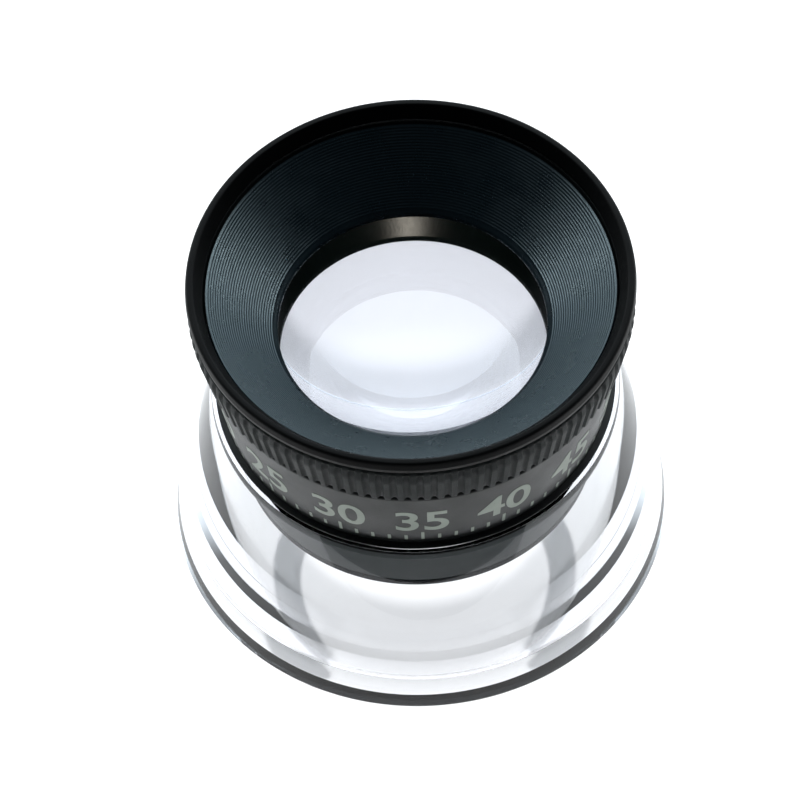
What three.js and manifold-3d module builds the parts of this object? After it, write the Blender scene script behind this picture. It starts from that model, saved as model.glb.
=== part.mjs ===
// Focusing stand loupe: a lens head that screws up and down in a barrel on a clear acrylic skirt.
// Millimetres, +Z up. The origin is the centre of the skirt's foot, on the surface that it stands on.
// The head is modelled at the bottom of its travel. Threads are plain sleeves with a running clearance.
import * as THREE from 'three';
import { mergeVertices } from 'three/addons/utils/BufferGeometryUtils.js';
import Module from 'manifold-3d';

const wasm = await Module();
wasm.setup();

// Clearance between neighbouring pieces
const GAP = 0.3;

// Clear skirt
const FOOT_RADIUS = 27.5;
const WALL_THICKNESS = 2.1;
const WALL_TAPER = 0.245;
const PLATE_UNDERSIDE = 20.4;

// Barrel and the scale sleeve around it
const BARREL_RADIUS = 18.56;
const BARREL_NECK_RADIUS = 18.7;
const BARREL_BOTTOM = 12.6;
const BARREL_TOP = 31.6;
const THREAD_BORE_RADIUS = 17.6;
const THREAD_BOTTOM = 29.6;
const RELIEF_RADIUS = 18.05;
const RELIEF_BOTTOM = 23.3;
const LOWER_BORE_RADIUS = 17.2;
const BAFFLE_BOTTOM = 10.9;
const BAFFLE_BORE_RADIUS = 14.6;
const SLEEVE_BOTTOM = 22.95;
const SLEEVE_TOP = 33.4;
const SLEEVE_BOTTOM_RADIUS = 20.83;
const SLEEVE_TOP_RADIUS = 22.3;
const SLEEVE_BORE_RADIUS = 20.6;
const SLEEVE_FLOOR = 25.5;

// Damping ring and its groove in the barrel
const GROOVE_BOTTOM = 30.1;
const GROOVE_TOP = 31.0;
const GROOVE_DEPTH = 0.55;
const DAMPING_HEIGHT = 0.6;

// Eye tube, which carries the moving thread, and its dust skirt
const EYE_TUBE_RADIUS = 17.3;
const EYE_TUBE_BORE_RADIUS = 16.2;
const EYE_TUBE_LOWER_RADIUS = 16.9;
const EYE_TUBE_BOTTOM = 12.7;
const WEB_UNDERSIDE = BARREL_TOP + GAP;
const WEB_TOP = 33.1;
const DUST_SKIRT_RADIUS = 20.3;
const DUST_SKIRT_INNER_RADIUS = 19.0;
const DUST_SKIRT_BOTTOM = 26.8;
const DUST_WALL_TOP = 36.2;
const SNAP_SEAT_RADIUS = 16.7;
const SNAP_SEAT_BOTTOM = 23.5;
const SNAP_SEAT_TOP = 24.5;
const SNAP_RING_RADIUS = 17.75;
const SNAP_RING_HEIGHT = 0.7;
const SNAP_RING_OPENING = 0.35;

// Eyecup, its rim bead and the ribbed grip ring
const OPENING_RADIUS = 14.25;
const OPENING_EDGE = 33.3;
const CONE_SLOPE = 0.89;
const CUP_FLOOR = 32.9;
const CUP_FLOOR_RADIUS = 15.9;
const CUP_WALL_RADIUS = 21.5;
const CUP_WALL_INNER_RADIUS = 20.6;
const CUP_WALL_BOTTOM = 33.9;
const CONE_DEPTH = 1.3;
const RIM_BOTTOM = 40.2;
const RIM_TOP = 41.7;
const RIM_INNER_RADIUS = 21.8;
const RIM_CREST_RADIUS = 22.75;
const RIM_RADIUS = 23.55;
const GRIP_BOTTOM = 33.7;
const GRIP_TOP = 39.9;
const GRIP_BORE_RADIUS = 21.8;
const GRIP_BOTTOM_RADIUS = 22.76;
const GRIP_BULGE_RADIUS = 23.6;
const GRIP_BULGE_HEIGHT = 38.2;
const RIB_COUNT = 104;
const RIB_HEIGHT = 0.35;

// Set screws that lock the eyecup to the dust wall
const SCREW_COUNT = 3;
const SCREW_RADIUS = 0.7;
const SCREW_CLEARANCE = 0.15;
const SCREW_HEIGHT = 35.0;
const SCREW_OUTER_END = 21.4;
const SCREW_LENGTH = 1.7;
const SCREW_SOCKET_RADIUS = 0.4;
const SCREW_SOCKET_DEPTH = 0.7;

// Lens pack, held in the eye tube between two threaded rings
const LENS_RADIUS = 15.9;
const CLEAR_RADIUS = 15.2;
const SPACER_BOTTOM = 21.0;
const SPACER_TOP = 24.5;
const UPPER_RETAINER_BOTTOM = 28.4;
const UPPER_RETAINER_TOP = 32.5;
const LOWER_RETAINER_BOTTOM = 12.9;
const LOWER_RETAINER_TOP = 15.9;
const NOTCH_WIDTH = 1.6;
const NOTCH_DEPTH = 0.5;

// Each glass: centre heights of its two faces and how far their spheres bulge up (+) or dish down (-)
const LENSES = [
  { name: 'upper_crown_lens', top: 31.0, topCurve: 35.5, bottom: 24.9, bottomCurve: -120 },
  { name: 'upper_flint_lens', top: 24.8, topCurve: -120, bottom: 23.3, bottomCurve: -79 },
  { name: 'lower_flint_lens', top: 22.2, topCurve: 80, bottom: 20.4, bottomCurve: 60 },
  { name: 'lower_crown_lens', top: 20.3, topCurve: 60, bottom: 14.3, bottomCurve: -60 },
];

const SEGMENTS_OUTER = 64;
const SEGMENTS_INNER = 40;
const LENS_STEPS = 5;

const finish = (color, roughness, metalness = 0) =>
  new THREE.MeshStandardMaterial({ color, roughness, metalness });

const MATERIALS = {
  acrylic: () => new THREE.MeshStandardMaterial({
    color: 0xf1f5f8, roughness: 0.05, transparent: true, opacity: 0.3,
  }),
  glass: () => new THREE.MeshStandardMaterial({
    color: 0xf4f6ff, roughness: 0.02, transparent: true, opacity: 0.3,
  }),
  satinBlack: () => finish(0x3d4143, 0.45),
  glossBlack: () => finish(0x07090b, 0.2),
  rubber: () => finish(0x2b2f30, 0.7),
  cone: () => finish(0x1f282e, 0.4),
  anodised: () => finish(0x17191b, 0.4, 0.6),
  steel: () => finish(0x8d9194, 0.35, 1.0),
  felt: () => finish(0x4a4238, 0.95),
};

const loupe = new THREE.Group();

function place(name, geometry, material) {
  const mesh = new THREE.Mesh(geometry, material());
  mesh.name = name;
  loupe.add(mesh);
  return mesh;
}

// Turns an outline of [radius, height] points about the Z axis.
// An outline that touches the axis starts and ends on it; any other is closed on itself.
function turned(outline, segments) {
  const points = outline.map(([radius, height]) => new THREE.Vector2(radius, height));
  if (THREE.ShapeUtils.area(points) < 0) {
    points.reverse();
  }
  if (points[0].x > 0) {
    points.push(points[0].clone());
  }
  const geometry = new THREE.LatheGeometry(points, segments);
  geometry.rotateX(Math.PI / 2);
  return geometry;
}

const ring = (inner, outer, bottom, top, segments) =>
  turned([[inner, bottom], [outer, bottom], [outer, top], [inner, top]], segments);

function toSolid(geometry) {
  const bare = geometry.clone();
  bare.deleteAttribute('normal');
  bare.deleteAttribute('uv');
  const welded = mergeVertices(bare, 1e-5);
  return new wasm.Manifold(new wasm.Mesh({
    numProp: 3,
    vertProperties: new Float32Array(welded.attributes.position.array),
    triVerts: new Uint32Array(welded.index.array),
  }));
}

function toGeometry(solid) {
  const mesh = solid.getMesh();
  const geometry = new THREE.BufferGeometry();
  geometry.setAttribute('position', new THREE.BufferAttribute(mesh.vertProperties, 3));
  geometry.setIndex(new THREE.BufferAttribute(mesh.triVerts, 1));
  return geometry;
}

function cut(geometry, cutters) {
  let solid = toSolid(geometry);
  for (const cutter of cutters) {
    solid = solid.subtract(toSolid(cutter));
  }
  return toGeometry(solid);
}

// ---- Stand ----

function clearSkirt() {
  const wall = (height) => FOOT_RADIUS - WALL_TAPER * height;
  const inside = (height) => wall(height) - WALL_THICKNESS;
  const bore = BARREL_RADIUS + GAP;
  const plateTop = SLEEVE_BOTTOM - GAP;
  return turned([
    [inside(0.3) + 0.15, 0],
    [FOOT_RADIUS - 0.3, 0],
    [FOOT_RADIUS, 0.15],
    [wall(plateTop - 0.3), plateTop - 0.3],
    [wall(plateTop) - 0.3, plateTop],
    [bore, plateTop],
    [bore, PLATE_UNDERSIDE],
    [inside(PLATE_UNDERSIDE) - 0.4, PLATE_UNDERSIDE],
    [inside(PLATE_UNDERSIDE - 0.4), PLATE_UNDERSIDE - 0.4],
    [inside(0.3), 0.3],
  ], SEGMENTS_OUTER);
}

function barrel() {
  const grooveRadius = BARREL_NECK_RADIUS - GROOVE_DEPTH;
  return turned([
    [LOWER_BORE_RADIUS, BARREL_BOTTOM],
    [BARREL_RADIUS, BARREL_BOTTOM],
    [BARREL_RADIUS, SLEEVE_BOTTOM - GAP],
    [BARREL_NECK_RADIUS, SLEEVE_BOTTOM],
    [BARREL_NECK_RADIUS, GROOVE_BOTTOM],
    [grooveRadius, GROOVE_BOTTOM],
    [grooveRadius, GROOVE_TOP],
    [BARREL_NECK_RADIUS, GROOVE_TOP],
    [BARREL_NECK_RADIUS, BARREL_TOP],
    [THREAD_BORE_RADIUS, BARREL_TOP],
    [THREAD_BORE_RADIUS, THREAD_BOTTOM],
    [RELIEF_RADIUS, THREAD_BOTTOM],
    [RELIEF_RADIUS, RELIEF_BOTTOM],
    [LOWER_BORE_RADIUS, RELIEF_BOTTOM],
  ], SEGMENTS_INNER);
}

function scaleSleeve() {
  return turned([
    [BARREL_NECK_RADIUS + GAP, SLEEVE_BOTTOM],
    [SLEEVE_BOTTOM_RADIUS, SLEEVE_BOTTOM],
    [SLEEVE_TOP_RADIUS, SLEEVE_TOP - 0.3],
    [SLEEVE_TOP_RADIUS - 0.3, SLEEVE_TOP],
    [SLEEVE_BORE_RADIUS, SLEEVE_TOP],
    [SLEEVE_BORE_RADIUS, SLEEVE_FLOOR],
    [BARREL_NECK_RADIUS + GAP, SLEEVE_FLOOR],
  ], SEGMENTS_OUTER);
}

function lowerBaffle() {
  const top = BARREL_BOTTOM - GAP;
  return turned([
    [BAFFLE_BORE_RADIUS, BAFFLE_BOTTOM + 0.6],
    [BAFFLE_BORE_RADIUS + 1.0, BAFFLE_BOTTOM],
    [BARREL_RADIUS - 0.3, BAFFLE_BOTTOM],
    [BARREL_RADIUS, BAFFLE_BOTTOM + 0.3],
    [BARREL_RADIUS, top],
    [BAFFLE_BORE_RADIUS, top],
  ], SEGMENTS_INNER);
}

function dampingRing() {
  const middle = (GROOVE_BOTTOM + GROOVE_TOP) / 2;
  return ring(BARREL_NECK_RADIUS - GROOVE_DEPTH + 0.1, DUST_SKIRT_INNER_RADIUS - 0.15,
    middle - DAMPING_HEIGHT / 2, middle + DAMPING_HEIGHT / 2, SEGMENTS_INNER);
}

// ---- Focusing head ----

// Radial cylinders at the three screw places, from the inner to the outer radius given
function screwHoles(inner, outer) {
  const radius = SCREW_RADIUS + SCREW_CLEARANCE;
  const holes = [];
  for (let index = 0; index < SCREW_COUNT; index += 1) {
    const hole = new THREE.CylinderGeometry(radius, radius, outer - inner, 12);
    hole.translate(0, (inner + outer) / 2, SCREW_HEIGHT);
    hole.rotateZ(screwAngle(index));
    holes.push(hole);
  }
  return holes;
}

const screwAngle = (index) => (index * 2 * Math.PI) / SCREW_COUNT;

function eyeTube() {
  const body = turned([
    [EYE_TUBE_BORE_RADIUS, EYE_TUBE_BOTTOM],
    [EYE_TUBE_LOWER_RADIUS, EYE_TUBE_BOTTOM],
    [EYE_TUBE_LOWER_RADIUS, SNAP_SEAT_BOTTOM],
    [SNAP_SEAT_RADIUS, SNAP_SEAT_BOTTOM],
    [SNAP_SEAT_RADIUS, SNAP_SEAT_TOP],
    [EYE_TUBE_RADIUS, SNAP_SEAT_TOP],
    [EYE_TUBE_RADIUS, WEB_UNDERSIDE],
    [DUST_SKIRT_INNER_RADIUS, WEB_UNDERSIDE],
    [DUST_SKIRT_INNER_RADIUS, DUST_SKIRT_BOTTOM],
    [DUST_SKIRT_RADIUS, DUST_SKIRT_BOTTOM],
    [DUST_SKIRT_RADIUS, DUST_WALL_TOP],
    [DUST_SKIRT_INNER_RADIUS + GAP, DUST_WALL_TOP],
    [DUST_SKIRT_INNER_RADIUS + GAP, WEB_TOP],
    [EYE_TUBE_BORE_RADIUS, WEB_TOP],
  ], SEGMENTS_INNER);
  return cut(body, screwHoles(DUST_SKIRT_INNER_RADIUS, CUP_WALL_INNER_RADIUS));
}

function eyecup() {
  const cone = (radius) => OPENING_EDGE + CONE_SLOPE * (radius - OPENING_RADIUS);
  const underCone = (radius) => cone(radius) - CONE_DEPTH;
  const body = turned([
    [OPENING_RADIUS, CUP_FLOOR],
    [CUP_FLOOR_RADIUS, CUP_FLOOR],
    [CUP_FLOOR_RADIUS + 0.2, underCone(CUP_FLOOR_RADIUS + 0.2)],
    [CUP_WALL_INNER_RADIUS, underCone(CUP_WALL_INNER_RADIUS)],
    [CUP_WALL_INNER_RADIUS, CUP_WALL_BOTTOM],
    [CUP_WALL_RADIUS, CUP_WALL_BOTTOM],
    [CUP_WALL_RADIUS, cone(CUP_WALL_RADIUS)],
    [OPENING_RADIUS, OPENING_EDGE],
  ], SEGMENTS_OUTER);
  return cut(body, screwHoles(DUST_SKIRT_RADIUS, GRIP_BORE_RADIUS));
}

function eyecupRim() {
  return turned([
    [RIM_INNER_RADIUS, RIM_BOTTOM],
    [RIM_RADIUS - 0.1, RIM_BOTTOM],
    [RIM_RADIUS, RIM_BOTTOM + 0.7],
    [RIM_RADIUS - 0.15, RIM_TOP - 0.3],
    [RIM_RADIUS - 0.45, RIM_TOP],
    [RIM_CREST_RADIUS + 0.1, RIM_TOP - 0.1],
    [RIM_CREST_RADIUS, RIM_TOP - 0.4],
    [RIM_INNER_RADIUS, RIM_BOTTOM + 0.2],
  ], SEGMENTS_OUTER);
}

// The ribbed outline is extruded straight and then drawn in towards its foot and its top edge
function gripRing() {
  const outline = new THREE.Shape();
  const pitch = (2 * Math.PI) / RIB_COUNT;
  const valley = GRIP_BULGE_RADIUS - RIB_HEIGHT;
  for (let rib = 0; rib < RIB_COUNT; rib += 1) {
    const corners = [[valley, 0.0], [GRIP_BULGE_RADIUS, 0.25], [GRIP_BULGE_RADIUS, 0.6], [valley, 0.85]];
    for (const [radius, share] of corners) {
      const angle = (rib + share) * pitch;
      const point = [radius * Math.cos(angle), radius * Math.sin(angle)];
      if (rib === 0 && share === 0.0) {
        outline.moveTo(...point);
      } else {
        outline.lineTo(...point);
      }
    }
  }
  outline.closePath();
  const bore = new THREE.Path();
  bore.absarc(0, 0, GRIP_BORE_RADIUS, 0, 2 * Math.PI, true);
  outline.holes.push(bore);
  const geometry = new THREE.ExtrudeGeometry(outline, {
    depth: GRIP_TOP - GRIP_BOTTOM, steps: 3, bevelEnabled: false, curveSegments: 16,
  });
  geometry.translate(0, 0, GRIP_BOTTOM);
  const position = geometry.attributes.position;
  for (let index = 0; index < position.count; index += 1) {
    const x = position.getX(index);
    const y = position.getY(index);
    if (Math.hypot(x, y) > GRIP_BORE_RADIUS + 0.2) {
      const scale = gripRadius(position.getZ(index)) / GRIP_BULGE_RADIUS;
      position.setXY(index, x * scale, y * scale);
    }
  }
  return geometry;
}

// The grip's outer radius: widest at the bulge, smaller below it and just under the rim
function gripRadius(height) {
  if (height > GRIP_BULGE_HEIGHT) {
    return GRIP_BULGE_RADIUS - 0.1 * (height - GRIP_BULGE_HEIGHT);
  }
  const drop = (GRIP_BULGE_HEIGHT - height) / (GRIP_BULGE_HEIGHT - GRIP_BOTTOM);
  return GRIP_BULGE_RADIUS - (GRIP_BULGE_RADIUS - GRIP_BOTTOM_RADIUS) * drop;
}

function setScrew() {
  const shank = new THREE.CylinderGeometry(SCREW_RADIUS, SCREW_RADIUS, SCREW_LENGTH, 12);
  const socket = new THREE.CylinderGeometry(SCREW_SOCKET_RADIUS, SCREW_SOCKET_RADIUS, SCREW_SOCKET_DEPTH, 6);
  socket.translate(0, (SCREW_LENGTH - SCREW_SOCKET_DEPTH) / 2 + 0.01, 0);
  return cut(shank, [socket]);
}

// An open spring ring: a flat strip bent round, with a small opening between its ends
function snapRing() {
  const half = SNAP_RING_OPENING / 2;
  const outline = new THREE.Shape();
  outline.absarc(0, 0, SNAP_RING_RADIUS, half, 2 * Math.PI - half, false);
  outline.absarc(0, 0, SNAP_SEAT_RADIUS + GAP, 2 * Math.PI - half, half, true);
  outline.closePath();
  const geometry = new THREE.ExtrudeGeometry(outline, {
    depth: SNAP_RING_HEIGHT, bevelEnabled: false, curveSegments: 18,
  });
  geometry.translate(0, 0, (SNAP_SEAT_BOTTOM + SNAP_SEAT_TOP - SNAP_RING_HEIGHT) / 2);
  return geometry;
}

// ---- Lens pack ----

// How far a sphere of this curve has dropped (+) at a radius from its centre point
const sag = (curve, radius) =>
  Math.sign(curve) * (Math.abs(curve) - Math.sqrt(curve * curve - radius * radius));

function lens({ top, topCurve, bottom, bottomCurve }) {
  const outline = [];
  for (let step = 0; step <= LENS_STEPS; step += 1) {
    const radius = (LENS_RADIUS * step) / LENS_STEPS;
    outline.push([radius, top - sag(topCurve, radius)]);
  }
  for (let step = LENS_STEPS; step >= 0; step -= 1) {
    const radius = (LENS_RADIUS * step) / LENS_STEPS;
    outline.push([radius, bottom - sag(bottomCurve, radius)]);
  }
  return turned(outline, SEGMENTS_INNER);
}

// Cuts the two spanner notches across a ring's face at this height
function notched(geometry, face) {
  const notch = new THREE.BoxGeometry(3 * LENS_RADIUS, NOTCH_WIDTH, 2 * NOTCH_DEPTH);
  notch.translate(0, 0, face);
  return cut(geometry, [notch]);
}

function upperLensRetainer() {
  return notched(ring(OPENING_RADIUS, LENS_RADIUS, UPPER_RETAINER_BOTTOM, UPPER_RETAINER_TOP, SEGMENTS_INNER),
    UPPER_RETAINER_TOP);
}

function lowerLensRetainer() {
  return notched(ring(CLEAR_RADIUS, LENS_RADIUS, LOWER_RETAINER_BOTTOM, LOWER_RETAINER_TOP, SEGMENTS_INNER),
    LOWER_RETAINER_BOTTOM);
}

// ---- Assembly ----

place('clear_skirt', clearSkirt(), MATERIALS.acrylic);
place('barrel', barrel(), MATERIALS.satinBlack);
place('scale_sleeve', scaleSleeve(), MATERIALS.satinBlack);
place('lower_baffle', lowerBaffle(), MATERIALS.anodised);
place('damping_ring', dampingRing(), MATERIALS.felt);

place('eye_tube', eyeTube(), MATERIALS.anodised);
place('eyecup', eyecup(), MATERIALS.cone);
place('eyecup_rim', eyecupRim(), MATERIALS.glossBlack);
place('grip_ring', gripRing(), MATERIALS.rubber);
place('snap_ring', snapRing(), MATERIALS.steel);
for (let index = 0; index < SCREW_COUNT; index += 1) {
  const holder = new THREE.Group();
  holder.rotation.z = screwAngle(index);
  loupe.add(holder);
  const screw = place(`set_screw_${index + 1}`, setScrew(), MATERIALS.steel);
  screw.position.set(0, SCREW_OUTER_END - SCREW_LENGTH / 2, SCREW_HEIGHT);
  holder.add(screw);
}

for (const glass of LENSES) {
  place(glass.name, lens(glass), MATERIALS.glass);
}
place('lens_spacer', ring(CLEAR_RADIUS, LENS_RADIUS, SPACER_BOTTOM, SPACER_TOP, SEGMENTS_INNER),
  MATERIALS.anodised);
place('upper_lens_retainer', upperLensRetainer(), MATERIALS.glossBlack);
place('lower_lens_retainer', lowerLensRetainer(), MATERIALS.anodised);

export default loupe;
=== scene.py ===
import math

import bmesh
import bpy
from mathutils import Matrix, Vector


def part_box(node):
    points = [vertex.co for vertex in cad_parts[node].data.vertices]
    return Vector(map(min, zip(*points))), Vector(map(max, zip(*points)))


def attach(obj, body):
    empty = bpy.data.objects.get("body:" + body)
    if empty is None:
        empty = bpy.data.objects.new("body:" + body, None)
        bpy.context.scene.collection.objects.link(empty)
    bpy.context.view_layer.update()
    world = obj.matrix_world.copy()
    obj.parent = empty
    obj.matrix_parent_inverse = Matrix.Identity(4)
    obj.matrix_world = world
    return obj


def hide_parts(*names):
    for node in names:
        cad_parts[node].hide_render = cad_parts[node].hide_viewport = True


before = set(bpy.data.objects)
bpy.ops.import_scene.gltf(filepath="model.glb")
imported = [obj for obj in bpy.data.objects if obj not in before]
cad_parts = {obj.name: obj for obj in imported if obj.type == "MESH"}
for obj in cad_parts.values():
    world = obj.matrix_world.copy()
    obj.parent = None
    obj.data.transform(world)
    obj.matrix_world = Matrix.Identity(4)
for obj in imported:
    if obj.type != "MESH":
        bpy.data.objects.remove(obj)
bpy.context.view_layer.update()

MM = 0.001

STAND = "stand"
LENS_PACK = "lens_pack"
HEAD = "focus_head"


# ---------------------------------------------------------------- places taken from the frame, in mm

def radius_of(node):
    low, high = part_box(node)
    return (high.x - low.x) / 2 / MM


def bottom_of(node):
    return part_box(node)[0].z / MM


def top_of(node):
    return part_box(node)[1].z / MM


# Clear skirt
FOOT_RADIUS = radius_of("clear_skirt")
SKIRT_TOP = top_of("clear_skirt")
WALL_TAPER = 0.245
WALL_THICKNESS = 2.1
PLATE_UNDERSIDE = 20.4
FOOT_STEP = 0.45
FOOT_STEP_BOTTOM = 2.2
FOOT_STEP_TOP = 3.2

# Barrel and baffle
BARREL_RADIUS = 18.56
BARREL_NECK_RADIUS = 18.7
BARREL_BOTTOM = bottom_of("barrel")
BARREL_TOP = top_of("barrel")
THREAD_BORE_RADIUS = 17.6
THREAD_FOOT = 23.3
LOWER_BORE_RADIUS = 17.2
BAFFLE_BOTTOM = bottom_of("lower_baffle")
BAFFLE_BORE_RADIUS = 14.6
LIP_THICKNESS = 0.55
LIP_INNER_RADIUS = 14.0
LIP_OUTER_RADIUS = 17.4

# Scale sleeve
SLEEVE_RADIUS = radius_of("scale_sleeve")
SLEEVE_BOTTOM = bottom_of("scale_sleeve")
SLEEVE_TOP = top_of("scale_sleeve")
SLEEVE_FOOT_RADIUS = 20.83
SLEEVE_BORE_RADIUS = 20.6
SLEEVE_FLOOR_RADIUS = 19.0
SLEEVE_FLOOR = 25.5
COLLAR_WIDTH = 0.7

# Printed scale
NUMBER_COUNT = 15
NUMBER_SIZE = 6.2
NUMBER_FOOT = 3.1
TICKS_PER_NUMBER = 5
TICK_FOOT = 0.8
TICK_TOP = 1.8
LONG_TICK_TOP = 2.5
TICK_WIDTH = 0.34

# Grip ring
GRIP_RADIUS = radius_of("grip_ring")
GRIP_BOTTOM = bottom_of("grip_ring")
GRIP_TOP = top_of("grip_ring")
GRIP_BORE_RADIUS = 21.8
GRIP_BULGE_HEIGHT = 38.2
RIB_COUNT = 104
RIB_DEPTH = 0.38

# Eyecup and rim
RIM_RADIUS = radius_of("eyecup_rim")
RIM_BOTTOM = bottom_of("eyecup_rim")
RIM_TOP = top_of("eyecup_rim")
CUP_FLOOR = bottom_of("eyecup")
CUP_RADIUS = 21.5
CUP_SKIRT_BOTTOM = 33.9
OPENING_RADIUS = 14.25
OPENING_EDGE = 33.3
CONE_SLOPE = 0.89
CONE_WALL = 1.3
RIDGE_COUNT = 28
RIDGE_RISE = 0.045

# Lens pack: the curves are radii, and a minus sign bends the glass the other way
LENS_RADIUS = radius_of("upper_crown_lens")
LOWER_CLEAR_RADIUS = 15.2
UPPER_CURVES = (35.5, -79)
LOWER_CURVES = (80, -60)

SEGMENTS = 256


# ---------------------------------------------------------------- mesh tools

def fillet(outline, steps=5):
    """Rounds the corners of a closed outline of (radius, height) or (radius, height, rounding) points."""
    points = []
    count = len(outline)
    for index, corner in enumerate(outline):
        here = Vector(corner[:2])
        rounding = corner[2] if len(corner) > 2 else 0.0
        if rounding <= 0:
            points.append(here)
            continue
        before = (Vector(outline[index - 1][:2]) - here)
        after = (Vector(outline[(index + 1) % count][:2]) - here)
        half = before.angle(after) / 2
        reach = min(rounding / math.tan(half), before.length * 0.49, after.length * 0.49)
        start = here + before.normalized() * reach
        end = here + after.normalized() * reach
        for step in range(steps + 1):
            t = step / steps
            points.append(start * (1 - t) ** 2 + here * (2 * t * (1 - t)) + end * t ** 2)
    return points


def shade(mesh, angle=35):
    mesh.polygons.foreach_set("use_smooth", [True] * len(mesh.polygons))
    mesh.set_sharp_from_angle(angle=math.radians(angle))


def new_piece(name, mesh, body, material, stands_for=()):
    piece = bpy.data.objects.new(name, mesh)
    bpy.context.scene.collection.objects.link(piece)
    mesh.materials.append(material)
    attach(piece, body)
    if stands_for:
        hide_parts(*stands_for)
    return piece


def ring_point(radius, angle, height):
    """A point in metres from a radius and height in mm and an angle in radians."""
    return Vector((radius * math.cos(angle), radius * math.sin(angle), height)) * MM


def finished_mesh(name, made):
    mesh = bpy.data.meshes.new(name)
    made.to_mesh(mesh)
    made.free()
    return mesh


def turned_mesh(name, outline, segments=SEGMENTS, on_axis=False):
    """Turns (radius, height) points in mm about Z. The outline closes on itself unless it is on the axis."""
    points = [Vector(point[:2]) for point in outline]
    area = sum(a.x * b.y - b.x * a.y for a, b in zip(points, points[1:] + points[:1]))
    if area < 0:
        points.reverse()
    made = bmesh.new()
    rings = []
    for point in points:
        if point.x < 1e-6:
            rings.append([made.verts.new((0, 0, point.y * MM))])
            continue
        rings.append([made.verts.new(ring_point(point.x, 2 * math.pi * step / segments, point.y))
                      for step in range(segments)])
    pairs = list(zip(rings, rings[1:]))
    if not on_axis:
        pairs.append((rings[-1], rings[0]))
    for lower, upper in pairs:
        for step in range(segments):
            after = (step + 1) % segments
            if len(lower) == 1 and len(upper) == 1:
                continue
            if len(lower) == 1:
                made.faces.new((lower[0], upper[after], upper[step]))
            elif len(upper) == 1:
                made.faces.new((lower[step], lower[after], upper[0]))
            else:
                made.faces.new((lower[step], lower[after], upper[after], upper[step]))
    mesh = finished_mesh(name, made)
    shade(mesh)
    return mesh


def arc_mesh(name, outline, start, end):
    """Turns an outline from one angle to another, in degrees, and closes both ends."""
    steps = int(end - start)
    made = bmesh.new()
    rings = []
    for step in range(steps + 1):
        angle = math.radians(start + step)
        rings.append([made.verts.new(ring_point(radius, angle, height)) for radius, height in outline])
    for before, after in zip(rings, rings[1:]):
        for index in range(len(outline)):
            made.faces.new((before[index - 1], before[index], after[index], after[index - 1]))
    made.faces.new(rings[0])
    made.faces.new(reversed(rings[-1]))
    bmesh.ops.recalc_face_normals(made, faces=made.faces)
    mesh = finished_mesh(name, made)
    shade(mesh)
    return mesh


def paint_node(node, material):
    """Gives a CAD node that stays in view a finished material."""
    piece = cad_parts[node]
    if not piece.data.materials:
        piece.data.materials.append(material)
    for slot in piece.material_slots:
        slot.material = material


# ---------------------------------------------------------------- material tools

class Nodes:
    """A new node material with short ways to add and join nodes."""

    def __init__(self, name):
        self.material = bpy.data.materials.new(name)
        self.material.use_nodes = True
        self.tree = self.material.node_tree
        self.shader = self.tree.nodes["Principled BSDF"]
        self.output = self.tree.nodes["Material Output"]
        self.place = self.add("ShaderNodeTexCoord").outputs["Object"]

    def add(self, kind):
        return self.tree.nodes.new(kind)

    def join(self, source, target):
        self.tree.links.new(source, target)

    def noise(self, scale, detail=4.0, roughness=0.6, place=None):
        node = self.add("ShaderNodeTexNoise")
        node.inputs["Scale"].default_value = scale
        node.inputs["Detail"].default_value = detail
        node.inputs["Roughness"].default_value = roughness
        self.join(place or self.place, node.inputs["Vector"])
        return node.outputs["Fac"]

    def spread(self, source, low, high, start=0.3, end=0.7):
        """Maps a value from start..end to low..high."""
        node = self.add("ShaderNodeMapRange")
        for key, value in (("From Min", start), ("From Max", end), ("To Min", low), ("To Max", high)):
            node.inputs[key].default_value = value
        self.join(source, node.inputs["Value"])
        return node.outputs["Result"]

    def ramp(self, source, stops):
        node = self.add("ShaderNodeValToRGB")
        elements = node.color_ramp.elements
        while len(elements) < len(stops):
            elements.new(0.5)
        for element, (place, colour) in zip(elements, stops):
            element.position = place
            element.color = (*colour, 1)
        self.join(source, node.inputs["Fac"])
        return node.outputs["Color"]

    def bump(self, height, distance):
        node = self.add("ShaderNodeBump")
        node.inputs["Distance"].default_value = distance
        self.join(height, node.inputs["Height"])
        return node.outputs["Normal"]

    def stretched(self, x, y, z):
        node = self.add("ShaderNodeMapping")
        node.inputs["Scale"].default_value = (x, y, z)
        self.join(self.place, node.inputs["Vector"])
        return node.outputs["Vector"]


def moulded(name, dark, light, rough_low, rough_high, grain=0.00002, specular=0.5, gloss_tint=(1, 1, 1)):
    """Moulded black plastic: cloudy tone, fine grain, and patches rubbed a little smoother."""
    n = Nodes(name)
    cloud = n.noise(90, 6)
    grit = n.noise(5200, 3, 0.7)
    n.join(n.ramp(cloud, ((0.3, dark), (0.7, light))), n.shader.inputs["Base Color"])
    n.join(n.spread(n.noise(260, 5), rough_low, rough_high), n.shader.inputs["Roughness"])
    n.join(n.bump(grit, grain), n.shader.inputs["Normal"])
    n.shader.inputs["Specular IOR Level"].default_value = specular
    n.shader.inputs["Specular Tint"].default_value = (*gloss_tint, 1)
    return n.material


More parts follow.
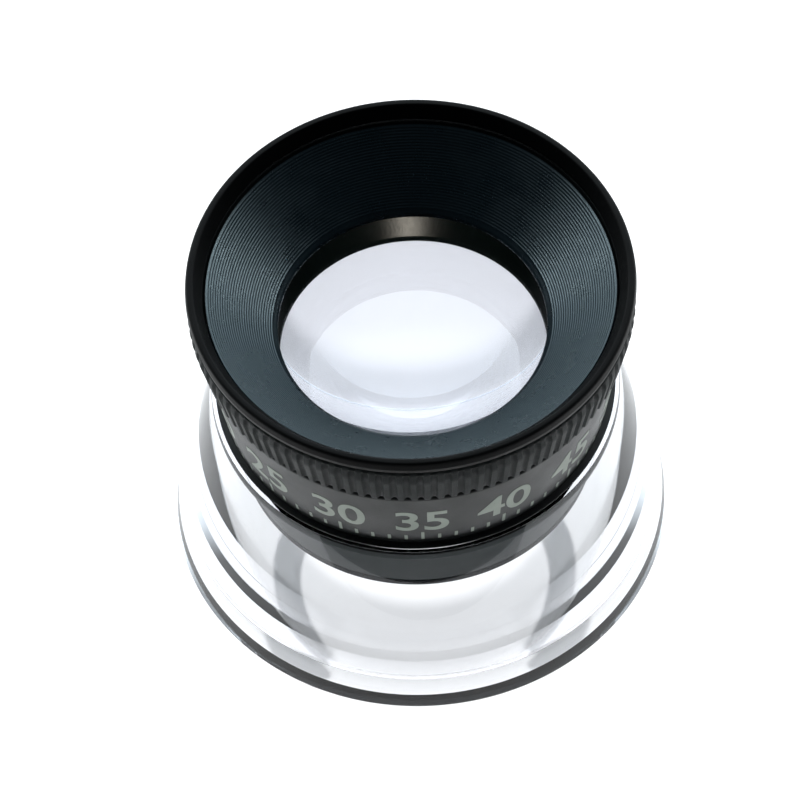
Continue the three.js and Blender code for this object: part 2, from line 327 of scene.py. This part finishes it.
def clear(name, tint, ior, rough_low, rough_high, waviness):
    """Clear solid that lets lamps through in its shadow, with a faint moulding wave and handling marks."""
    n = Nodes(name)
    n.tree.nodes.remove(n.shader)
    glass = n.add("ShaderNodeBsdfGlass")
    glass.inputs["Color"].default_value = (*tint, 1)
    glass.inputs["IOR"].default_value = ior
    wave = n.noise(60, 2)
    marks = n.noise(1, 6, 0.7, n.stretched(900, 900, 120))
    n.join(n.spread(marks, rough_low, rough_high, 0.45, 0.75), glass.inputs["Roughness"])
    n.join(n.bump(wave, waviness), glass.inputs["Normal"])
    shadow = n.add("ShaderNodeBsdfTransparent")
    shadow.inputs["Color"].default_value = (*[0.97 * c for c in tint], 1)
    path = n.add("ShaderNodeLightPath")
    both = n.add("ShaderNodeMixShader")
    n.join(path.outputs["Is Shadow Ray"], both.inputs[0])
    n.join(glass.outputs[0], both.inputs[1])
    n.join(shadow.outputs[0], both.inputs[2])
    n.join(both.outputs[0], n.output.inputs["Surface"])
    return n.material


ACRYLIC = clear("clear_acrylic", (0.985, 0.99, 1.0), 1.46, 0.0, 0.03, 0.00001)
GLASS = clear("optical_glass", (0.945, 0.948, 0.965), 1.78, 0.0, 0.01, 0.0)
BARREL_BLACK = moulded("barrel_black", (0.012, 0.015, 0.015), (0.018, 0.021, 0.021), 0.4, 0.5, specular=0.2)
SLEEVE_BLACK = moulded("sleeve_black", (0.012, 0.014, 0.014), (0.018, 0.021, 0.021), 0.38, 0.5)
GRIP_RUBBER = moulded("grip_rubber", (0.01, 0.014, 0.014), (0.018, 0.023, 0.023), 0.5, 0.68, 0.00004, 0.3)
CONE_BLACK = moulded("cone_black", (0.002, 0.007, 0.011), (0.005, 0.012, 0.018), 0.24, 0.34,
                     specular=0.84, gloss_tint=(0.68, 0.91, 1.0))
RIM_BLACK = moulded("rim_black", (0.0012, 0.0014, 0.0018), (0.0025, 0.0027, 0.003), 0.42, 0.55,
                    specular=0.14)
ANODISED = moulded("anodised_black", (0.001, 0.002, 0.002), (0.003, 0.004, 0.004), 0.4, 0.5, specular=0.05)
RETAINER = moulded("retainer_black", (0.003, 0.006, 0.006), (0.005, 0.009, 0.009), 0.2, 0.28, specular=0.3)
PAINT = moulded("scale_paint", (0.27, 0.31, 0.27), (0.38, 0.42, 0.37), 0.5, 0.65)


# ---------------------------------------------------------------- clear skirt

def make_skirt():
    bore = BARREL_RADIUS + 0.3

    def outer(height):
        return FOOT_RADIUS - WALL_TAPER * height

    def inner(height):
        return outer(height) - WALL_THICKNESS

    outline = fillet([
        (inner(0) - FOOT_STEP, 0, 0.15),
        (outer(0) - 0.02, 0, 0.14),
        (outer(SKIRT_TOP) - 0.02, SKIRT_TOP, 0.03),
        (bore, SKIRT_TOP, 0.1),
        (bore, PLATE_UNDERSIDE, 0.1),
        (inner(PLATE_UNDERSIDE), PLATE_UNDERSIDE, 0.6),
        (inner(FOOT_STEP_TOP), FOOT_STEP_TOP),
        (inner(FOOT_STEP_BOTTOM) - FOOT_STEP, FOOT_STEP_BOTTOM, 0.4),
    ], 8)
    new_piece("skirt_clear", turned_mesh("skirt_clear", outline), STAND, ACRYLIC,
              ["clear_skirt"])


# ---------------------------------------------------------------- barrel, baffle and sleeve

def make_barrel():
    outline = fillet([
        (LOWER_BORE_RADIUS, BARREL_BOTTOM, 0.1),
        (BARREL_RADIUS, BARREL_BOTTOM, 0.15),
        (BARREL_RADIUS, SLEEVE_BOTTOM - 0.3, 0.05),
        (BARREL_NECK_RADIUS, SLEEVE_BOTTOM, 0.05),
        (BARREL_NECK_RADIUS, BARREL_TOP, 0.2),
        (THREAD_BORE_RADIUS, BARREL_TOP, 0.2),
        (THREAD_BORE_RADIUS, THREAD_FOOT, 0.1),
        (LOWER_BORE_RADIUS, THREAD_FOOT, 0.1),
    ])
    new_piece("barrel_tube", turned_mesh("barrel_tube", outline), STAND, BARREL_BLACK,
              ["barrel"])


def make_baffle():
    """The field stop, and the lip under it in two arcs, so that the rear one alone can shade a lamp."""
    seat = BAFFLE_BOTTOM + LIP_THICKNESS
    outline = fillet([
        (BAFFLE_BORE_RADIUS, seat, 0.05),
        (BARREL_RADIUS, seat, 0.25),
        (BARREL_RADIUS, BARREL_BOTTOM - 0.1, 0.1),
        (BAFFLE_BORE_RADIUS, BARREL_BOTTOM - 0.1, 0.1),
    ])
    new_piece("baffle_ring", turned_mesh("baffle_ring", outline), STAND, ANODISED,
              ["lower_baffle"])
    section = [
        (LIP_INNER_RADIUS, seat),
        (LIP_INNER_RADIUS, seat - 0.3),
        (LIP_INNER_RADIUS + 0.3, BAFFLE_BOTTOM),
        (LIP_OUTER_RADIUS - 0.2, BAFFLE_BOTTOM),
        (LIP_OUTER_RADIUS, seat - 0.3),
        (LIP_OUTER_RADIUS, seat),
    ]
    for name, start, end in (("baffle_lip_rear", -44, 224), ("baffle_lip_front", 224, 316)):
        new_piece(name, arc_mesh(name, section, start, end), STAND, ANODISED)


def make_sleeve():
    foot = SKIRT_TOP + 0.03
    collar_radius = SLEEVE_FOOT_RADIUS + COLLAR_WIDTH
    outline = fillet([
        (SLEEVE_FLOOR_RADIUS, foot, 0.1),
        (collar_radius, foot, 0.05),
        (collar_radius, SLEEVE_BOTTOM - 0.08, 0.05),
        (SLEEVE_FOOT_RADIUS, SLEEVE_BOTTOM, 0.05),
        (SLEEVE_RADIUS, SLEEVE_TOP, 0.35),
        (SLEEVE_BORE_RADIUS, SLEEVE_TOP, 0.15),
        (SLEEVE_BORE_RADIUS, SLEEVE_FLOOR, 0.1),
        (SLEEVE_FLOOR_RADIUS, SLEEVE_FLOOR, 0.1),
    ])
    new_piece("sleeve_cone", turned_mesh("sleeve_cone", outline), STAND, SLEEVE_BLACK,
              ["scale_sleeve"])


# ---------------------------------------------------------------- printed scale

def on_sleeve(along, up, lift):
    """A point on the sleeve's flank: the arc from its front, the height up the flank and the lift, in mm."""
    slope = (SLEEVE_RADIUS - SLEEVE_FOOT_RADIUS) / (SLEEVE_TOP - SLEEVE_BOTTOM)
    lean = math.atan(slope)
    height = SLEEVE_BOTTOM + up * math.cos(lean)
    radius = SLEEVE_FOOT_RADIUS + slope * (height - SLEEVE_BOTTOM) + lift
    middle = (SLEEVE_RADIUS + SLEEVE_FOOT_RADIUS) / 2
    return ring_point(radius, along / middle - math.pi / 2, height)


def wrap(flat, name):
    """Slices a flat mesh in mm into narrow strips and lays it on the sleeve."""
    made = bmesh.new()
    made.from_mesh(flat)
    low = min(v.co.x for v in made.verts)
    high = max(v.co.x for v in made.verts)
    strip = 0.5
    for step in range(1, int((high - low) / strip) + 1):
        geometry = made.verts[:] + made.edges[:] + made.faces[:]
        bmesh.ops.bisect_plane(made, geom=geometry, plane_co=(low + step * strip, 0, 0), plane_no=(1, 0, 0))
    for vertex in made.verts:
        vertex.co = on_sleeve(vertex.co.x, vertex.co.y, vertex.co.z)
    return finished_mesh(name, made)


def text_mesh(text, size, x, y):
    """Flat letters in mm, centred on x with their foot at y."""
    curve = bpy.data.curves.new("words", "FONT")
    curve.body = text
    curve.size = size
    curve.align_x = "CENTER"
    curve.extrude = 0.03
    curve.offset = 0.10
    holder = bpy.data.objects.new("words", curve)
    bpy.context.scene.collection.objects.link(holder)
    bpy.context.view_layer.update()
    ready = holder.evaluated_get(bpy.context.evaluated_depsgraph_get())
    mesh = bpy.data.meshes.new_from_object(ready)
    bpy.data.objects.remove(holder)
    bpy.data.curves.remove(curve)
    mesh.transform(Matrix.Translation((x, y, 0.0)))
    return mesh


def add_tick(made, x, bottom, top, width):
    cube = bmesh.ops.create_cube(made, size=1.0)["verts"]
    bmesh.ops.scale(made, verts=cube, vec=(width, top - bottom, 0.06))
    bmesh.ops.translate(made, verts=cube, vec=(x, (top + bottom) / 2, 0))


def make_scale():
    pitch = math.pi * (SLEEVE_RADIUS + SLEEVE_FOOT_RADIUS) / NUMBER_COUNT
    middle = NUMBER_COUNT // 2
    for index in range(NUMBER_COUNT):
        name = f"scale_number_{index}"
        value = TICKS_PER_NUMBER * index
        number = text_mesh(f"{value:02d}", NUMBER_SIZE, (index - middle) * pitch, NUMBER_FOOT)
        new_piece(name, wrap(number, name), STAND, PAINT)
    made = bmesh.new()
    for index in range(NUMBER_COUNT * TICKS_PER_NUMBER):
        top = TICK_TOP if index % TICKS_PER_NUMBER else LONG_TICK_TOP
        add_tick(made, (index / TICKS_PER_NUMBER - middle) * pitch, TICK_FOOT, top, TICK_WIDTH)
    flat = finished_mesh("ticks", made)
    new_piece("scale_ticks", wrap(flat, "scale_ticks"), STAND, PAINT)


# ---------------------------------------------------------------- ribbed grip

def grip_radius(height):
    """The outer radius of the grip, over the crowns of its ribs."""
    if height > GRIP_BULGE_HEIGHT:
        return GRIP_RADIUS - 0.1 * (height - GRIP_BULGE_HEIGHT)
    drop = (GRIP_BULGE_HEIGHT - height) / (GRIP_BULGE_HEIGHT - GRIP_BOTTOM)
    return GRIP_RADIUS - 0.84 * drop


def rib_share(share):
    """How high the rib stands, 0 to 1, at a share of the way from one groove to the next."""
    rib = min(1.0, max(0.0, (0.5 - abs(share - 0.5)) * 5 - 0.6))
    return rib * rib * (3 - 2 * rib)


def make_grip():
    made = bmesh.new()
    steps = 10
    levels = 20
    edge_rounding = 0.35
    count = RIB_COUNT * steps
    angles = [2 * math.pi * step / count for step in range(count)]
    rings = []
    band_top = GRIP_TOP - edge_rounding
    for level in range(levels + 1):
        height = GRIP_BOTTOM + (GRIP_TOP - GRIP_BOTTOM) * level / levels
        edge = min(1.0, (height - GRIP_BOTTOM) / edge_rounding, (GRIP_TOP - height) / edge_rounding)
        inset = 0.3 * (1 - math.sqrt(max(0.0, 1 - (1 - edge) ** 2)))
        groove = RIB_DEPTH * min(1.0, max(0.0, (band_top - height) / 0.3))
        ring = []
        for step, angle in enumerate(angles):
            radius = grip_radius(height) - inset - groove * (1 - rib_share((step % steps) / steps))
            ring.append(made.verts.new(ring_point(radius, angle, height)))
        rings.append(ring)
    for height in (GRIP_TOP, GRIP_BOTTOM):
        rings.append([made.verts.new(ring_point(GRIP_BORE_RADIUS, angle, height)) for angle in angles])
    for lower, upper in zip(rings, rings[1:] + rings[:1]):
        for step in range(count):
            after = (step + 1) % count
            made.faces.new((lower[step], lower[after], upper[after], upper[step]))
    mesh = finished_mesh("grip_ribbed", made)
    shade(mesh, 50)
    new_piece("grip_ribbed", mesh, HEAD, GRIP_RUBBER, ["grip_ring"])


# ---------------------------------------------------------------- eyecup and rim

def make_eyecup():
    def cone(radius):
        return OPENING_EDGE + CONE_SLOPE * (radius - OPENING_RADIUS)

    start = OPENING_RADIUS + 0.45
    end = CUP_RADIUS - 0.1
    steps = 6
    pitch = (end - start) / RIDGE_COUNT
    ridged = []
    for index in range(RIDGE_COUNT * steps + 1):
        radius = start + pitch * index / steps
        rise = RIDGE_RISE * (0.5 - 0.5 * math.cos(2 * math.pi * index / steps))
        ridged.append((radius - rise * 0.66, cone(radius) + rise * 0.75))
    skirt_inner = CUP_RADIUS - 0.9
    neck = 16.1
    under = [
        (CUP_RADIUS, CUP_SKIRT_BOTTOM),
        (skirt_inner, CUP_SKIRT_BOTTOM),
        (skirt_inner, cone(skirt_inner) - CONE_WALL),
        (neck, cone(neck) - CONE_WALL),
        (neck - 0.2, CUP_FLOOR),
    ]
    lip = [
        (OPENING_RADIUS, CUP_FLOOR),
        (OPENING_RADIUS, OPENING_EDGE - 0.1),
        (OPENING_RADIUS + 0.08, OPENING_EDGE + 0.05),
        (OPENING_RADIUS + 0.2, cone(OPENING_RADIUS + 0.2)),
    ]
    outline = lip + ridged + [(CUP_RADIUS, cone(CUP_RADIUS))] + under
    mesh = turned_mesh("eyecup_cone", outline)
    shade(mesh, 60)
    new_piece("eyecup_cone", mesh, HEAD, CONE_BLACK, ["eyecup"])


def make_rim():
    inner = CUP_RADIUS + 0.3
    outline = fillet([
        (inner, RIM_BOTTOM, 0.05),
        (RIM_RADIUS - 0.1, RIM_BOTTOM, 0.1),
        (RIM_RADIUS, RIM_BOTTOM + 0.6, 0.4),
        (RIM_RADIUS - 0.12, RIM_TOP, 0.45),
        (inner + 0.9, RIM_TOP, 0.3),
        (inner, RIM_BOTTOM + 0.2, 0.05),
    ], 8)
    new_piece("rim_bead", turned_mesh("rim_bead", outline), HEAD, RIM_BLACK, ["eyecup_rim"])


# ---------------------------------------------------------------- lens pack

def sphere_drop(curve, radius):
    """How far a spherical face falls from its middle to the radius."""
    return math.copysign(abs(curve) - math.sqrt(curve * curve - radius * radius), curve)


def make_doublet(name, upper_node, lower_node, curves):
    """A cemented pair as one clear solid, with a small bevel round both faces."""
    steps = 24
    bevel = 0.12
    face_radius = LENS_RADIUS - bevel
    radii = [face_radius * step / steps for step in range(steps + 1)]
    top = top_of(upper_node)
    bottom = bottom_of(lower_node)
    top_curve, bottom_curve = curves
    outline = [(radius, top - sphere_drop(top_curve, radius)) for radius in radii]
    outline.append((LENS_RADIUS, top - sphere_drop(top_curve, face_radius) - bevel))
    outline.append((LENS_RADIUS, bottom - sphere_drop(bottom_curve, face_radius) + bevel))
    outline += [(radius, bottom - sphere_drop(bottom_curve, radius)) for radius in reversed(radii)]
    new_piece(name, turned_mesh(name, outline, on_axis=True), LENS_PACK, GLASS,
              [upper_node, lower_node])


def make_lens_pack():
    make_doublet("upper_doublet", "upper_crown_lens", "upper_flint_lens", UPPER_CURVES)
    make_doublet("lower_doublet", "lower_flint_lens", "lower_crown_lens", LOWER_CURVES)
    bottom = bottom_of("upper_lens_retainer")
    top = top_of("upper_lens_retainer")
    sink_radius = OPENING_RADIUS + 1.1
    sink = fillet([
        (OPENING_RADIUS, bottom, 0.1),
        (LENS_RADIUS, bottom, 0.1),
        (LENS_RADIUS, top, 0.1),
        (sink_radius, top, 0.1),
        (sink_radius, top - 1.1, 0.15),
        (OPENING_RADIUS, bottom + 0.9, 0.15),
    ])
    new_piece("retainer_sink", turned_mesh("retainer_sink", sink), LENS_PACK, RETAINER,
              ["upper_lens_retainer"])
    bottom = bottom_of("lower_lens_retainer")
    top = top_of("lower_lens_retainer")
    ring = fillet([
        (LOWER_CLEAR_RADIUS, bottom, 0.1),
        (LENS_RADIUS, bottom, 0.1),
        (LENS_RADIUS, top, 0.1),
        (LOWER_CLEAR_RADIUS, top, 0.1),
    ])
    new_piece("retainer_lower", turned_mesh("retainer_lower", ring), LENS_PACK, ANODISED,
              ["lower_lens_retainer"])
    paint_node("lens_spacer", ANODISED)


# ---------------------------------------------------------------- camera, floor and lights

ELEVATION = 56.0
DISTANCE = 0.4725
ROLL = -2.8
LENS = 195.9
TARGET = Vector((0, 0, 17.85 * MM))
AIM_RIGHT = 1.79 * MM
AIM_DOWN = 0.50 * MM


def make_camera():
    camera = bpy.data.objects.new("camera", bpy.data.cameras.new("camera"))
    bpy.context.scene.collection.objects.link(camera)
    camera.data.lens = LENS
    camera.data.sensor_width = 36
    camera.data.clip_start = 0.01
    camera.data.clip_end = 20
    tilt = math.radians(ELEVATION)
    back = Vector((0, -math.cos(tilt), math.sin(tilt)))
    side = Vector((1, 0, 0))
    up = back.cross(side)
    turn = Matrix.Rotation(math.radians(-ROLL), 3, -back)
    right = turn @ side
    above = turn @ up
    aim = TARGET - right * AIM_RIGHT + above * AIM_DOWN
    place = TARGET + back * DISTANCE
    out = (place - aim).normalized()
    right = (right - out * right.dot(out)).normalized()
    above = out.cross(right)
    basis = Matrix((right, above, out)).transposed().to_4x4()
    basis.translation = place
    camera.matrix_world = basis
    bpy.context.scene.camera = camera


def flat_sheet(name, width, depth, place, material):
    """A flat sheet of the stage, which isn't part of the loupe."""
    made = bmesh.new()
    bmesh.ops.create_grid(made, x_segments=8, y_segments=8, size=0.5)
    bmesh.ops.scale(made, verts=made.verts, vec=(width, depth, 1))
    sheet = bpy.data.objects.new(name, finished_mesh(name, made))
    bpy.context.scene.collection.objects.link(sheet)
    sheet.location = place
    sheet.data.materials.append(material)
    return sheet


def make_floor():
    n = Nodes("floor")
    n.join(n.ramp(n.noise(6, 3), ((0.3, (0.93, 0.935, 0.94)), (0.7, (0.95, 0.95, 0.955)))),
           n.shader.inputs["Base Color"])
    n.shader.inputs["Roughness"].default_value = 0.6
    n.shader.inputs["Specular IOR Level"].default_value = 0.2
    flat_sheet("floor", 3.2, 3.2, (0, 0, -0.00002), n.material)


def make_painted_reflection_card():
    """A grey card on the table before the loupe, which only its reflection in the clear wall shows: it
    paints a darker reflection there, and is no part of the scene the camera sees.
    """
    grey = moulded("flag", (0.12, 0.13, 0.13), (0.14, 0.15, 0.15), 0.8, 0.9)
    flag = flat_sheet("flag", 0.26, 0.08, (0, -0.085, 0.0005), grey)
    # Hidden from the camera, diffuse light and shadows, so the card only paints a darker reflection
    flag.visible_camera = False
    flag.visible_diffuse = False
    flag.visible_shadow = False


def soft_box(name, azimuth, elevation, distance, width, height, power, lights, shaded_by):
    """An area lamp that faces the loupe. Azimuth 0 is behind it, and positive is towards +X.
    It lights only the pieces in lights, with shadows only from those in shaded_by."""
    lamp = bpy.data.lights.new(name, "AREA")
    lamp.shape = "RECTANGLE"
    lamp.size = width
    lamp.size_y = height
    lamp.energy = power
    holder = bpy.data.objects.new(name, lamp)
    bpy.context.scene.collection.objects.link(holder)
    a, e = math.radians(azimuth), math.radians(elevation)
    out = Vector((math.sin(a) * math.cos(e), math.cos(a) * math.cos(e), math.sin(e)))
    turn = out.to_track_quat("Z", "Y").to_matrix().to_4x4()
    holder.matrix_world = Matrix.Translation(TARGET + out * distance) @ turn
    holder.light_linking.receiver_collection = group(f"{name}_lights", lights)
    holder.light_linking.blocker_collection = group(f"{name}_shaded_by", shaded_by)
    return lamp


def group(name, pieces):
    """A collection of pieces, which a lamp is linked to."""
    made = bpy.data.collections.new(name)
    for piece in pieces:
        made.objects.link(bpy.data.objects[piece])
    return made


# The dome's strength is DOME at the back and ROOM on the dark side, and it fades between the two edges
DARK_SIDE = (0, -1, 0)
DARK_EDGE = -0.62
DARK_CORE = -0.22
DOME = 1.75
ROOM = 0.02


def make_dome():
    """A pale studio dome that falls away to a dark room on the camera's side."""
    world = bpy.data.worlds.new("studio")
    bpy.context.scene.world = world
    world.use_nodes = True
    tree = world.node_tree
    background = tree.nodes["Background"]
    place = tree.nodes.new("ShaderNodeTexCoord").outputs["Generated"]
    toward = tree.nodes.new("ShaderNodeVectorMath")
    toward.operation = "DOT_PRODUCT"
    toward.inputs[1].default_value = DARK_SIDE
    tree.links.new(place, toward.inputs[0])
    fall = tree.nodes.new("ShaderNodeMapRange")
    fall.interpolation_type = "SMOOTHSTEP"
    for key, value in (("From Min", DARK_EDGE), ("From Max", DARK_CORE), ("To Min", DOME), ("To Max", ROOM)):
        fall.inputs[key].default_value = value
    tree.links.new(toward.outputs["Value"], fall.inputs["Value"])
    tree.links.new(fall.outputs["Result"], background.inputs["Strength"])
    background.inputs["Color"].default_value = (0.86, 0.95, 1.0, 1)


def make_light():
    """Each lamp serves one surface. A lamp that should cast no shadow has the ticks as its blocker."""
    make_dome()
    for side in (-1, 1):
        for place in (58, 68):
            soft_box(f"strip_{side}_{place}", side * place, 34, 1.0, 0.02, 0.4, 1.2,
                     ["eyecup_cone"], ["eyecup_cone"])
    soft_box("back_light", 0, 43, 1.5, 0.045, 0.045, 16.5, ["floor"], ["baffle_lip_rear"])
    soft_box("table_fill", 0, 70, 1.5, 0.5, 0.5, 3.0, ["floor"], ["scale_ticks"])
    soft_box("table_top", 0, 90, 1.5, 0.12, 0.12, 11, ["floor"], ["grip_ribbed", "rim_bead", "eyecup_cone"])
    soft_box("barrel_fill", 180, 12, 0.6, 0.3, 0.1, 4.2, ["barrel_tube"], ["scale_ticks"])
    glint = soft_box("glint_light", 180, 3, 0.6, 0.04, 0.05, 1.4, ["retainer_sink"], ["scale_ticks"])
    glint.color = (1.0, 0.93, 0.8)
    bpy.context.scene.view_settings.view_transform = "Standard"


make_camera()
make_skirt()
make_barrel()
make_baffle()
make_sleeve()
make_scale()
make_grip()
make_eyecup()
make_rim()
make_lens_pack()
for hidden, finish_of in (("eye_tube", ANODISED), ("snap_ring", RETAINER), ("damping_ring", GRIP_RUBBER),
                          ("set_screw_1", RETAINER), ("set_screw_2", RETAINER), ("set_screw_3", RETAINER)):
    paint_node(hidden, finish_of)
make_floor()
make_painted_reflection_card()
make_light()
